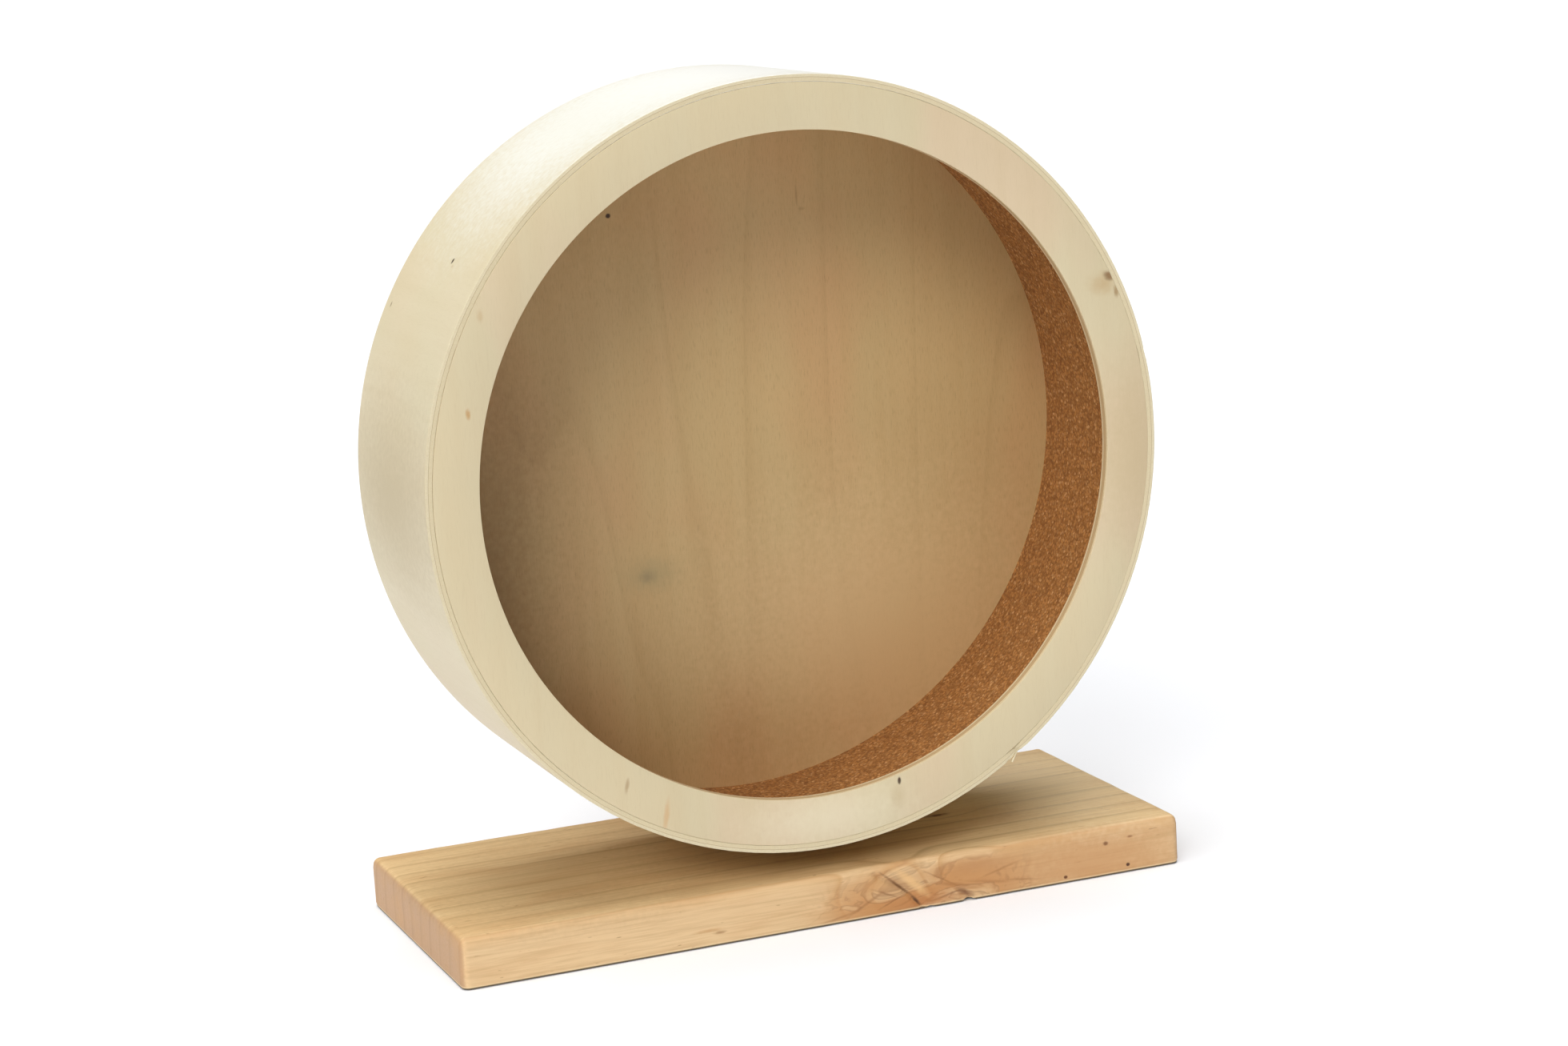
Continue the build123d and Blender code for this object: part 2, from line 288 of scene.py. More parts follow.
air = bpy.data.worlds.new("studioAir")
air.use_nodes = True
tree = air.node_tree
heading = addNode(tree, "TexCoord").outputs["Generated"]
height = addNode(tree, "SeparateXYZ", {0: heading}).outputs[2]
glow = addNode(tree, "MapRange", {"Value": height, "To Min": studio["airHorizon"],
                                  "To Max": studio["airZenith"]})
tree.nodes["Background"].inputs["Color"].default_value = paint("ffffff")
tree.links.new(glow.outputs[0], tree.nodes["Background"].inputs["Strength"])
scene.world = air

for sun in studio["suns"]:  # wide suns light the whole floor evenly, as large softboxes would
    bpy.ops.object.light_add(type="SUN", location=sun["from"])
    light = bpy.context.object
    light.name = sun["name"]
    light.data.angle = math.radians(sun["spread"])
    light.data.energy = sun["strength"]
    light.rotation_euler = Vector(sun["from"]).to_track_quat("Z", "Y").to_euler()
print("camera and light set")


# Wood, cork and metal

def maths(tree, operation, one, two=0.0, clamp=False):
    return addNode(tree, "Math", {"operation": operation, "use_clamp": clamp, 0: one, 1: two}).outputs[0]


def vectorMaths(tree, operation, one, two=(0, 0, 0)):
    result = addNode(tree, "VectorMath", {"operation": operation, 0: one, 1: two}).outputs
    return result["Value"] if operation == "LENGTH" else result[0]


def millimetreCoords(tree):
    return vectorMaths(tree, "MULTIPLY", addNode(tree, "TexCoord").outputs["Object"], (1 / mm,) * 3)


def stretched(tree, coords, x, y, z):  # one unit of pattern per x, y and z millimetres
    return vectorMaths(tree, "MULTIPLY", coords, (1 / x, 1 / y, 1 / z))


def blended(tree, factor, one, two):
    return addNode(tree, "Mix", {"data_type": "RGBA", 0: factor, 6: one, 7: two}).outputs[2]


def noise(tree, coords, scale=1.0, detail=2.0, roughness=0.5, distortion=0.0):
    return addNode(tree, "TexNoise", {"Vector": coords, "Scale": scale, "Detail": detail,
                                      "Roughness": roughness, "Distortion": distortion}).outputs


def ranged(tree, value, low, high, least=0.0, most=1.0, curve="LINEAR"):
    # least where the value is low, most where it is high, held outside them
    return addNode(tree, "MapRange", {"interpolation_type": curve, "Value": value, "From Min": low,
                                      "From Max": high, "To Min": least, "To Max": most}).outputs[0]


def ramp(tree, value, stops):
    return addNode(tree, "ValToRGB", {"stops": stops, 0: value}).outputs[0]


def swayed(tree, value, pattern, sway):  # the value pushed up and down by a pattern
    return maths(tree, "ADD", value, maths(tree, "MULTIPLY", maths(tree, "SUBTRACT", pattern, 0.5), sway))


def reachFrom(tree, coords, middle, half, turn=0.0, wobble=(0, 0, 0)):
    # distance from a spot's middle in parts of its half sizes; turn is about Y, in degrees
    spot = addNode(tree, "Mapping", {"vector_type": "TEXTURE", "Vector": coords, "Location": middle,
                                     "Rotation": (0, math.radians(turn), 0), "Scale": half}).outputs[0]
    return vectorMaths(tree, "LENGTH", vectorMaths(tree, "ADD", spot, wobble))


# soft coloured spots: marks of the wood, and on some pieces painted light and painted shade
def addMarks(tree, coords, colour, marks, unevenness=0.5):
    wobble = vectorMaths(tree, "SUBTRACT", noise(tree, coords, 0.45, 3.0)["Color"], (0.5, 0.5, 0.5))
    wobble = vectorMaths(tree, "MULTIPLY", wobble, (unevenness,) * 3)
    for middle, half, code, strength, core, turn in marks:
        reach = reachFrom(tree, coords, middle, half, turn, wobble)
        soft = ranged(tree, reach, 1.0, core, 0.0, strength, "SMOOTHSTEP")
        colour = blended(tree, soft, colour, paint(code))
    return colour


def tinted(tree, colour, look, layers):
    # each layer: a pattern, the levels where it starts and is full, its strength and its colour's key
    for pattern, low, high, strength, shade in layers:
        colour = blended(tree, ranged(tree, pattern, low, high, 0.0, strength), colour, paint(look[shade]))
    return colour


def dress(tree, shader, colour, relief, strength, distance, invert=False):  # distance in mm
    tree.links.new(colour, shader.inputs["Base Color"])
    bump = addNode(tree, "Bump", {"Strength": strength, "Distance": distance * mm, "invert": invert,
                                  "Height": relief})
    tree.links.new(bump.outputs[0], shader.inputs["Normal"])


def veneerMaterial(name, look):
    # rotary-cut poplar: pale and nearly even, fine short pores along the grain, faint wide figure
    material, tree, shader = newMaterial(name, look["roughness"])
    coords = millimetreCoords(tree)
    moved = addNode(tree, "Mapping", {"Location": look["offset"], "Vector": coords}).outputs[0]

    def grain(width, length, detail, roughness=0.5):  # pattern sizes across and along the grain
        sizes = [length if axis == look["grainAxis"] else width for axis in range(3)]
        return noise(tree, stretched(tree, moved, *sizes), 1.0, detail, roughness)

    pores = grain(*look["poreSize"], 3.0, 0.65)["Fac"]
    warmth = addNode(tree, "SeparateColor", {0: grain(50.0, 95.0, 2.0)["Color"]}).outputs[1]
    colour = tinted(tree, paint(look["base"]), look, [
        (grain(34.0, 60.0, 2.0)["Fac"], 0.42, 0.66, look["patchStrength"], "patchGreen"),
        (warmth, 0.48, 0.66, look["patchStrength"], "patchPink"),
        (grain(6.0, 110.0, 4.0, 0.55)["Fac"], 0.38, 0.68, look["streakStrength"], "streak"),
        (pores, 0.52, 0.72, look["poreStrength"], "pore")])
    contour = grain(64.0, 620.0, 1.5, 0.4)["Fac"]
    contour = maths(tree, "FRACT", maths(tree, "MULTIPLY", contour, look["figureLines"]))
    contour = ramp(tree, contour, [(0.0, 0.0), (0.78, 0.06), (0.95, 1.0), (0.975, 0.25), (1.0, 0.0)])
    contour = maths(tree, "MULTIPLY", contour, look["figureStrength"])
    colour = blended(tree, contour, colour, paint(look["figure"]))
    colour = addMarks(tree, coords, colour, look["marks"])
    dress(tree, shader, colour, pores, 0.1, 0.03, True)
    return material


def plyEdgeMaterial(name, look):
    # sawn plywood edge: pale long-grain plies, browner end-grain plies and thin glue lines
    material, tree, shader = newMaterial(name, 0.75)
    coords = millimetreCoords(tree)
    if look["across"] == "radius":
        level = vectorMaths(tree, "SUBTRACT", coords, (wheel["axleX"], 0, wheel["axleZ"]))
        level = vectorMaths(tree, "LENGTH", vectorMaths(tree, "MULTIPLY", level, (1, 0, 1)))
    else:
        level = addNode(tree, "SeparateXYZ", {0: coords}).outputs[1]
    level = swayed(tree, level, noise(tree, coords, 0.25)["Fac"], 0.25)
    glueHalf, fade = 0.012, 0.03  # in parts of the edge's width
    stops = []
    for index, (edge, code) in enumerate(look["plies"]):
        following = look["plies"][index + 1][0] if index + 1 < len(look["plies"]) else 1.0
        if index:
            stops += [(edge - glueHalf, paint(look["glue"])), (edge + glueHalf, paint(look["glue"]))]
        stops += [(edge + fade, paint(code)), (following - fade, paint(code))]
    bands = ramp(tree, ranged(tree, level, look["low"], look["high"]), stops)
    fibres = noise(tree, coords, 1.6, 4.0, 0.7)["Fac"]
    colour = tinted(tree, bands, look, [(fibres, 0.45, 0.7, 0.45, "fibre")])
    dress(tree, shader, colour, fibres, 0.5, 0.2)
    return material


def pineMaterial(name, look):
    # planed pine: wide pale growth with narrow darker late wood, drawn from one field of growth
    material, tree, shader = newMaterial(name, look["roughness"])
    coords = millimetreCoords(tree)
    height = addNode(tree, "SeparateXYZ", {0: coords}).outputs[2]
    turned = addNode(tree, "Mapping", {"Rotation": look["turn"], "Vector": coords}).outputs[0]
    along, inward, across = addNode(tree, "SeparateXYZ", {0: turned}).outputs

    def grain(x, y, z, detail, roughness=0.5, distortion=0.0):
        return noise(tree, stretched(tree, turned, x, y, z), 1.0, detail, roughness, distortion)["Fac"]

    field = maths(tree, "ADD", inward, maths(tree, "MULTIPLY", across, look["lean"]))
    field = swayed(tree, field, grain(170, 45, 40, 2.5, 0.45), look["wander"])
    for knot in look["knots"]:  # the growth lines bend round each knot
        reach = reachFrom(tree, coords, knot["place"], knot["half"])
        field = maths(tree, "ADD", field, ranged(tree, reach, 1.0, 0.0, 0.0, knot["swell"], "SMOOTHERSTEP"))
    yearly = maths(tree, "DIVIDE", maths(tree, "SUBTRACT", field, look["firstLine"]), look["spacing"])
    late = ramp(tree, maths(tree, "FRACT", yearly), [
        (0.0, 0.6), (0.03, 0.0), (0.55, 0.0), (0.80, 0.22), (0.92, 0.75), (0.965, 1.0), (1.0, 0.6)])
    late = maths(tree, "MULTIPLY", late, ranged(tree, grain(260, 17, 60, 2.0), 0.35, 0.62, 0.35))
    minor = maths(tree, "FRACT", maths(tree, "DIVIDE", field, look["spacing"] * 0.31))
    minor = ramp(tree, minor, [(0.0, 0.5), (0.1, 0.0), (0.6, 0.05), (0.93, 1.0), (1.0, 0.5)])
    late = maths(tree, "ADD", maths(tree, "MULTIPLY", late, look["lateStrength"]),
                 maths(tree, "MULTIPLY", minor, look["minorStrength"]), True)
    shades = [paint(look["early"]), paint(look["late"])]
    zones = {"front": (inward, -57.0, -61.3),
             "end": (maths(tree, "ABSOLUTE", along), look["endFrom"] - 0.6, look["endFrom"] + 0.6)}
    for zone, (spot, low, high) in zones.items():  # the sawn ends and the front have shades of their own
        if zone in look:
            share = ranged(tree, spot, low, high, 0.0, 1.0, "SMOOTHSTEP")
            shades = [blended(tree, share, shade, paint(code)) for shade, code in zip(shades, look[zone])]
    fibres = grain(26, 0.9, 0.9, 3.0, 0.6)
    colour = tinted(tree, blended(tree, late, *shades), look, [
        (grain(48, 16, 12, 3.0), 0.45, 0.68, look["blotchStrength"], "blotch"),
        (fibres, 0.42, 0.72, look["fibreStrength"], "fibre"),
        (grain(5.0, 1.2, 1.2, 1.0), 0.73, 0.80, 0.5, "fleck")])
    if "swirl" in look:  # stained, swirling grain round the crack
        swirl = look["swirl"]
        bent = grain(44, 60, 17, 3.5, 0.55, 1.6)
        lines = maths(tree, "FRACT", maths(tree, "MULTIPLY", bent, 7.0))
        lines = ramp(tree, lines, [(0.0, 0.0), (0.55, 0.1), (0.86, 1.0), (0.93, 0.5), (1.0, 0.0)])
        reach = reachFrom(tree, coords, swirl["place"], swirl["half"])
        inside = ranged(tree, reach, 1.0, 0.35, 0.0, 1.0, "SMOOTHSTEP")
        stained = maths(tree, "MULTIPLY", inside, ranged(tree, bent, 0.40, 0.58, 0.1, 0.85))
        colour = blended(tree, stained, colour, paint(swirl["stain"]))
        lined = maths(tree, "MULTIPLY", maths(tree, "MULTIPLY", inside, lines), 0.5)
        colour = blended(tree, lined, colour, paint(swirl["line"]))
    colour = addMarks(tree, coords, colour, look["marks"])
    worn = ranged(tree, height, look["wornTo"], look["wornFrom"], 0.0, 0.7, "SMOOTHSTEP")
    colour = blended(tree, worn, colour, paint(look["worn"]))
    if "paintedContactShadow" in look:  # painted contact shadow: the lowest edge darkened where the board stands on the floor
        colour = tinted(tree, colour, look, [(height, 1.0, 0.7, 0.9, "paintedContactShadow")])
    relief = maths(tree, "ADD", maths(tree, "MULTIPLY", fibres, 0.8), maths(tree, "MULTIPLY", late, 0.4))
    dress(tree, shader, colour, relief, 0.4, 0.18)
    return material


corkLook = {"granule": 1.05, "browns": ["8f5e2d", "ae753b", "c48a4a", "ae7942", "99652f", "d8a66a"],
            "binder": "784a20", "speck": "472a13", "roughness": 0.85}


def corkMaterial(name, look):
    # agglomerated cork: pressed granules of many browns with dark bark specks between them
    material, tree, shader = newMaterial(name, look["roughness"])
    coords = millimetreCoords(tree)
    uneven = addNode(tree, "VectorMath", {"operation": "MULTIPLY_ADD", 0: noise(tree, coords, 0.8)["Color"],
                                          1: (0.9, 0.9, 0.9), 2: coords}).outputs[0]
    granules = addNode(tree, "TexVoronoi", {"Vector": uneven, "Scale": 1 / look["granule"],
                                            "Randomness": 1.0}).outputs
    shade = addNode(tree, "SeparateColor", {0: granules["Color"]}).outputs[0]
    last = len(look["browns"]) - 1
    browns = ramp(tree, shade, [(index / last, paint(code)) for index, code in enumerate(look["browns"])])
    fine = noise(tree, coords, 1.7, 3.0)["Fac"]
    colour = tinted(tree, browns, look, [(granules["Distance"], 0.45, 0.75, 0.55, "binder"),
                                         (fine, 0.66, 0.74, 0.8, "speck")])
    dress(tree, shader, colour, maths(tree, "SUBTRACT", fine, granules["Distance"]), 0.6, 0.3)
    return material


def metalMaterial(name, light, dark, roughness, cloudScale):
    material, tree, shader = newMaterial(name, roughness, 1.0)
    cloud = noise(tree, millimetreCoords(tree), cloudScale, 3.0)["Fac"]
    tree.links.new(blended(tree, cloud, paint(light), paint(dark)), shader.inputs["Base Color"])
    haze = ranged(tree, cloud, 0.3, 0.7, roughness - 0.06, roughness + 0.1)
    tree.links.new(haze, shader.inputs["Roughness"])
    return material


# Marks on the wood, and painted light and painted shade, each a soft spot: middle and half sizes in mm,
# colour, strength, the part of it that is full strength, and its turn about Y in degrees
hoopVeneer = {"base": "dfd2b2", "pore": "b9a67e", "streak": "d4c49e", "patchGreen": "dad0ac",
              "patchPink": "ddcaa6",
              "figure": "c1aa7f", "figureLines": 5.0, "figureStrength": 0.06, "poreStrength": 0.13,
              "poreSize": (0.4, 5.0),
              "streakStrength": 0.22, "patchStrength": 0.4, "grainAxis": 1, "offset": (31, 7, 12),
              "roughness": 0.5,
              "marks": [
                  # painted highlight: these two spots whiten the top of the hoop, where the light from
                  # above is strongest
                  ((-50.0, -16.0, 330.0), (140, 100, 95), "f1f0e5", 0.95, 0.3, 0),
                  ((0.0, -16.0, 326.0), (95, 100, 34), "fdfcf6", 0.9, 0.2, 0),
                  # painted shade: the left side of the hoop darker
                  ((-147.0, -16.0, 176.0), (50, 100, 58), "bfae88", 0.85, 0.0, 0),
                  # painted light: the lower left of the hoop lighter, from light thrown up by the floor
                  ((-98.0, -16.0, 70.0), (55, 100, 40), "eee5cb", 0.8, 0.0, 0),
                  ((-119.1, -23.7, 261.1), (1.3, 1.1, 1.6), "402d1a", 1.0, 0.5, 0),
                  ((-120.6, -26.5, 259.9), (1.0, 2.2, 1.2), "c1a877", 0.7, 0.2, 0),
                  ((-130.9, 22.6, 241.9), (1.0, 1.0, 2.0), "8d7550", 0.8, 0.2, 0),
                  ((-142.0, 3.0, 158.0), (2, 1.0, 1.4), "b19a71", 0.6, 0.2, 0)]}
ringVeneer = {"base": "d8c8a3", "pore": "b49d74", "streak": "cfb990", "patchGreen": "d4c7a4",
              "patchPink": "dbc1a1",
              "figure": "bfa375", "figureLines": 4.0, "figureStrength": 0.05, "poreStrength": 0.12,
              "poreSize": (0.4, 5.0),
              "streakStrength": 0.18, "patchStrength": 0.6, "grainAxis": 2, "offset": (0, 0, 0),
              "roughness": 0.5,
              "marks": [
                  # painted shade: the right side of the ring darker
                  ((135.0, -61.5, 165.0), (26, 6, 62), "c3ae84", 0.55, 0.0, 0),
                  # painted light: the bottom of the ring lighter
                  ((0.0, -61.5, 42.0), (50, 6, 18), "ebe0c2", 0.6, 0.0, 0),
                  ((123.5, -61.5, 232.0), (9, 6, 6), "c4a779", 0.7, 0.0, 0),
                  ((126.3, -61.5, 234.6), (3.6, 4, 2.4), "8d6b43", 0.9, 0.2, 25),
                  ((129.0, -61.5, 228.6), (1.6, 4, 3.4), "a48457", 0.8, 0.2, 0),
                  ((29.0, -61.5, 52.0), (0.95, 3, 2.0), "4a3221", 1.0, 0.45, 0),
                  ((28.4, -61.5, 46.0), (4.5, 4, 7.5), "c9b58d", 0.6, 0.0, 0),
                  ((-128.7, -61.5, 210.7), (1.3, 3, 2.6), "c08f52", 0.75, 0.2, 0),
                  ((-121.5, -61.5, 245.1), (1.6, 3, 3.4), "bf9b68", 0.35, 0.2, 0),
                  ((-79.2, -61.5, 67.0), (1.1, 3, 4.2), "9f7a51", 0.55, 0.2, 12),
                  ((-64.8, -61.5, 53.1), (1.6, 3, 9.0), "cf9f68", 0.5, 0.2, 10)]}
discVeneer = {"base": "d1b27c", "pore": "926f3f", "streak": "c4a16a", "patchGreen": "ccb27d",
              "patchPink": "d4a673",
              "figure": "946d37", "figureLines": 6.5, "figureStrength": 0.11, "poreStrength": 0.34,
              "poreSize": (0.38, 4.0),
              "streakStrength": 0.30, "patchStrength": 0.5, "grainAxis": 2, "offset": (13, 0, 40),
              "roughness": 0.55,
              "marks": [
                  # painted light: the lower right of the disc lighter, where light comes in through the
                  # opening
                  ((62.0, 20.5, 88.0), (115, 8, 92), "e9c994", 0.75, 0.1, 0),
                  # painted shade: the left of the disc darker, in the shadow of the drum's left wall
                  ((-125.0, 20.5, 150.0), (76, 8, 135), "a07d44", 0.75, 0.0, 0),
                  # painted shade: the upper left of the disc darker, in the shadow of the front ring
                  ((-75.0, 20.5, 285.0), (95, 8, 70), "a9874f", 0.5, 0.0, 0),
                  ((-36.0, 20.5, 126.2), (17, 8, 10), "ac9c6f", 0.5, 0.0, 0),
                  ((-38.0, 20.5, 125.6), (5.5, 6, 4.0), "918561", 0.5, 0.0, 0),
                  ((-44.0, 20.5, 267.0), (1.4, 4, 1.2), "402914", 1.0, 0.5, 0),
                  ((33.5, 20.5, 268.0), (0.7, 4, 6.0), "916c3e", 0.35, 0.2, 0),
                  ((35.5, 20.5, 262.5), (2.0, 4, 1.0), "916c3e", 0.25, 0.2, 0)]}
hubVeneer = dict(ringVeneer, offset=(60, 0, 25), marks=[], base="d6c29c")

hoopEdge = {"across": "radius", "low": 142.0, "high": 145.0, "glue": "ab9166", "fibre": "ceba91",
            "plies": [(0.0, "dbcca8"), (0.56, "dfd2b1")]}
ringEdge = {"across": "y", "low": -61.5, "high": -57.0, "glue": "a48a62", "fibre": "bfa275",
            "plies": [(0.0, "dfcea7"), (0.30, "c4a77c"), (0.70, "dfcea7")]}
discEdge = {"across": "y", "low": 20.5, "high": 29.5, "glue": "7d6243", "fibre": "a48562",
            "plies": [(0.0, "d7c49d"), (0.16, "b09068"), (0.38, "d2bc94"), (0.62, "b09068"),
                      (0.84, "d7c49d")]}
hubEdge = dict(discEdge, low=29.5, high=38.0)

boardPine = {
    "roughness": 0.6, "turn": (0, 0, 0), "spacing": 12.7, "firstLine": 44.5, "lean": 0.12, "wander": 7.0,
    "lateStrength": 0.66, "minorStrength": 0.10, "early": "e9c996", "late": "b38f5e",
    "front": ("eaca9b", "cc995f"), "end": ("c8a27d", "af8561"), "endFrom": 146.0,
    "blotch": "cfa06b", "blotchStrength": 0.42, "fibre": "bd9562", "fibreStrength": 0.42, "fleck": "9b6d3f",
    "knots": [
        {"place": (28, -61.5, 8), "half": (38, 26, 26), "swell": 20.0},
        {"place": (66, -9.9, 20), "half": (26, 12, 14), "swell": 9.0},
        {"place": (52, -61.5, 14), "half": (24, 14, 14), "swell": -12.0},
    ],
    "swirl": {"place": (40, -61.5, 4), "half": (62, 14, 22), "stain": "c68b4f", "line": "915e31"},
    "marks": [
        ((110, -61.5, 6.0), (62, 9, 22), "c99561", 0.75, 0.1, 0),
        # painted shade: the left of the board's top darker
        ((-95.0, 0, 20), (80, 95, 12), "8d6f47", 0.36, 0.1, 0),
        # painted light: the right of the board's top lighter, out of the drum's shadow
        ((118.0, 8, 20), (62, 95, 12), "ffeecb", 0.42, 0.1, 0),
        ((38.0, -61.5, 3.0), (26, 4, 6.5), "b7743d", 0.6, 0.0, 0),
        ((60.0, -61.5, 14.0), (20, 5, 5.0), "bb8451", 0.5, 0.0, 0),
        ((66, -10.2, 20), (7.5, 2.6, 3), "825632", 0.8, 0.1, 0),
        ((66, -10.2, 20), (3.0, 1.0, 3), "51321a", 0.9, 0.2, 0),
        ((124.0, -61.5, 3.3), (1.1, 2, 0.9), "56331b", 1.0, 0.5, 0),
        ((96.8, -61.5, 2.6), (1.1, 2, 0.9), "704322", 1.0, 0.5, 0),
        ((114.6, -61.5, 13.3), (1.5, 2, 1.2), "80502a", 0.9, 0.3, 0),
        ((125.2, -61.5, 14.5), (1.8, 2, 0.7), "946035", 0.8, 0.2, 0),
        ((32.0, -61.5, 11.5), (13.0, 4, 2.6), "edc185", 0.8, 0.1, 43),
        ((26.5, -61.5, 10.8), (13.5, 3, 0.9), "724624", 0.9, 0.2, 41),
        ((33.8, -61.5, 3.6), (3.8, 3, 1.0), "4f2d15", 1.0, 0.3, 48),
        ((20.5, -61.5, 9.0), (9.0, 3, 0.7), "84542c", 0.6, 0.0, 24),
        ((24.0, -61.5, 5.5), (10.0, 3, 0.6), "8c5a30", 0.6, 0.0, -22),
        ((44.0, -61.5, 11.0), (12.0, 3, 0.6), "986536", 0.55, 0.0, 30),
        ((47.0, -61.5, 4.2), (9.0, 3, 0.7), "84532b", 0.6, 0.0, -12),
        ((69.0, -61.5, 10.5), (13.0, 3, 0.8), "a06c3c", 0.5, 0.0, -14),
        ((78.0, -61.5, 5.0), (10.0, 3, 0.7), "a06c3c", 0.5, 0.0, 8),
        ((53.8, -61.5, 4.0), (6.0, 3, 1.8), "754726", 0.85, 0.0, 28),
        ((50.0, -61.5, 7.5), (15.0, 3, 1.3), "a36c3a", 0.6, 0.0, 14),
        ((64.0, -61.5, 6.5), (14.0, 3, 1.0), "a77141", 0.5, 0.0, 10),
        ((13.0, -61.5, 6.2), (13, 3, 1.0), "976335", 0.5, 0.0, -27),
        ((2.0, -61.5, 2.6), (15, 3, 0.8), "a77342", 0.55, 0.0, -10),
        ((18.0, -61.5, 12.5), (9, 3, 4.5), "d09b62", 0.6, 0.0, 0),
        ((-46.8, -61.5, 5.2), (4.0, 3, 0.9), "a17141", 0.7, 0.1, 0),
        ((-51.0, -61.5, 6.6), (8.0, 3, 1.0), "c28b53", 0.6, 0.0, 0)],
    # the last colour is painted contact shadow, a dark line along the board's lowest edge
    "worn": "f7dcac", "wornFrom": 0.9, "wornTo": 1.7, "paintedContactShadow": "3d3224",
}
postPine = {
    "roughness": 0.6, "turn": (0, math.radians(90), 0), "spacing": 5.5, "firstLine": 0.0, "lean": 0.5,
    "wander": 12.0,
    "lateStrength": 0.55, "minorStrength": 0.08, "early": "dcbd8e", "late": "b98f5c",
    "end": ("dcbd8e", "b98f5c"), "endFrom": 4000,
    "blotch": "c9a06c", "blotchStrength": 0.3, "fibre": "ba945f", "fibreStrength": 0.3, "fleck": "94683c",
    "knots": [{"place": (12, 59, 92), "half": (15, 26, 36), "swell": 14.0}],
    "marks": [
        ((12, 59, 92), (6.5, 12, 8.5), "8d5d33", 0.85, 0.3, 0),
        ((12, 59, 92), (3.5, 12, 4.5), "5d3a1f", 0.8, 0.2, 0)],
    "worn": "e6c998", "wornFrom": 19.0, "wornTo": 19.5,
}

boardWood = pineMaterial("planedPineBoard", boardPine)
postWood = pineMaterial("planedPinePost", postPine)
hoopWood = veneerMaterial("poplarHoopVeneer", hoopVeneer)
ringWood = veneerMaterial("poplarRingVeneer", ringVeneer)
discWood = veneerMaterial("poplarDiscVeneer", discVeneer)
hubWood = veneerMaterial("poplarHubVeneer", hubVeneer)
hoopPlies = plyEdgeMaterial("hoopPlyEdge", hoopEdge)
ringPlies = plyEdgeMaterial("ringPlyEdge", ringEdge)
discPlies = plyEdgeMaterial("discPlyEdge", discEdge)
hubPlies = plyEdgeMaterial("hubPlyEdge", hubEdge)
corkSheet = corkMaterial("agglomeratedCork", corkLook)
metalLooks = {  # by slot in the CAD: name, light and dark tone, roughness and cloud scale
    "zinc_screws": ("yellowZincScrew", "d9cda0", "b9a878", 0.32, 0.6),
    "zinc_bolt": ("clearZincBolt", "c9cccf", "a9adb2", 0.3, 0.5),
    "washer_steel": ("zincedWasherSteel", "c4c6c8", "9fa2a6", 0.36, 0.4),
    "bearing_steel": ("groundBearingSteel", "d2d4d6", "bfc2c5", 0.16, 0.3),
    "shield_steel": ("pressedShieldSteel", "bcbfc2", "a3a6aa", 0.3, 0.4),
    "cage_steel": ("ribbonCageSteel", "b5b6b8", "94969a", 0.35, 0.5),
}
metals = {slot: metalMaterial(*look) for slot, look in metalLooks.items()}
nylon, tree, shader = newMaterial("blueNylon", 0.45, 0.0, 1.53)  # slightly waxy moulded ring
cloud = noise(tree, millimetreCoords(tree), 1.2)["Fac"]
tree.links.new(blended(tree, cloud, paint("3a5fa6"), paint("2c4c8c")), shader.inputs["Base Color"])
metals["nylon"] = nylon
for node in nodes.values():
    for index, material in enumerate(node.data.materials):
        if material.name in metals:
            node.material_slots[index].material = metals[material.name]
print("materials made")


# Drum: hoop, front ring, cork and back disc

def spunRing(name, section):
    # a flat section beside the axle, its corners eased, then swept about the axle by Screw
    inner, steps = section["inner"], section["steps"]
    width, length = section["outer"] - inner, section["back"] - section["front"]
    clearSelection()
    bpy.ops.mesh.primitive_plane_add(size=1)
    piece = named(name)
    piece.location = metres(inner + width / 2, section["front"] + length / 2, 0)
    piece.scale = (width * mm, length * mm, 1)
    settle(piece)
    editAll(piece)
    bpy.ops.mesh.bevel(offset=section["ease"] * mm, segments=section["easeSteps"], affect="VERTICES")
    bpy.ops.mesh.select_all(action="SELECT")
    bpy.ops.mesh.delete(type="ONLY_FACE")
    cutAcross(piece, 1, section.get("cuts", ()))
    cutAcross(piece, 0, section.get("radii", ()))
    if "innerCuts" in section:
        pick(piece, "EDGE", lambda one, two: onPlane(0, inner, one, two) and abs(one.y - two.y) > 5)
        bpy.ops.mesh.subdivide(number_cuts=section["innerCuts"])
    applyModifier(piece, "SCREW", axis="Y", angle=2 * math.pi, steps=steps, render_steps=steps,
                  use_merge_vertices=True, merge_threshold=0.01 * mm)
    editAll(piece)
    bpy.ops.mesh.remove_doubles(threshold=0.01 * mm)
    bpy.ops.mesh.normals_make_consistent(inside=False)
    bpy.ops.object.mode_set(mode="OBJECT")
    piece.location = metres(wheel["axleX"], 0, wheel["axleZ"])
    settle(piece)
    return piece


hoop = {"inner": 142.0, "outer": wheel["radius"], "front": wheel["front"], "back": wheel["back"],
        "ease": 0.2, "easeSteps": 3, "steps": 1080, "radii": (142.75, 143.5, 144.2),
        "cuts": (-61.0, -60.0, -58.5, 28.5), "chipAngle": 11.5, "tearAngle": -56.0,
        "seamAngle": -58.0, "splinterAngle": -56.5, "splinterRadius": 145.1}
drumHoop = spunRing("drumHoop", hoop)


def hoopFront(spot, normal):  # 1 on the hoop's front edge, fading out over half a millimetre
    return max(0.0, min(1.0, (-60.6 - spot.y) / 0.5))


def nearAngle(spot, angle, width):  # 1 at an angle round the axle, 0 a width in degrees away
    return max(0.0, 1 - abs(axleAngle(spot) - angle) / width)


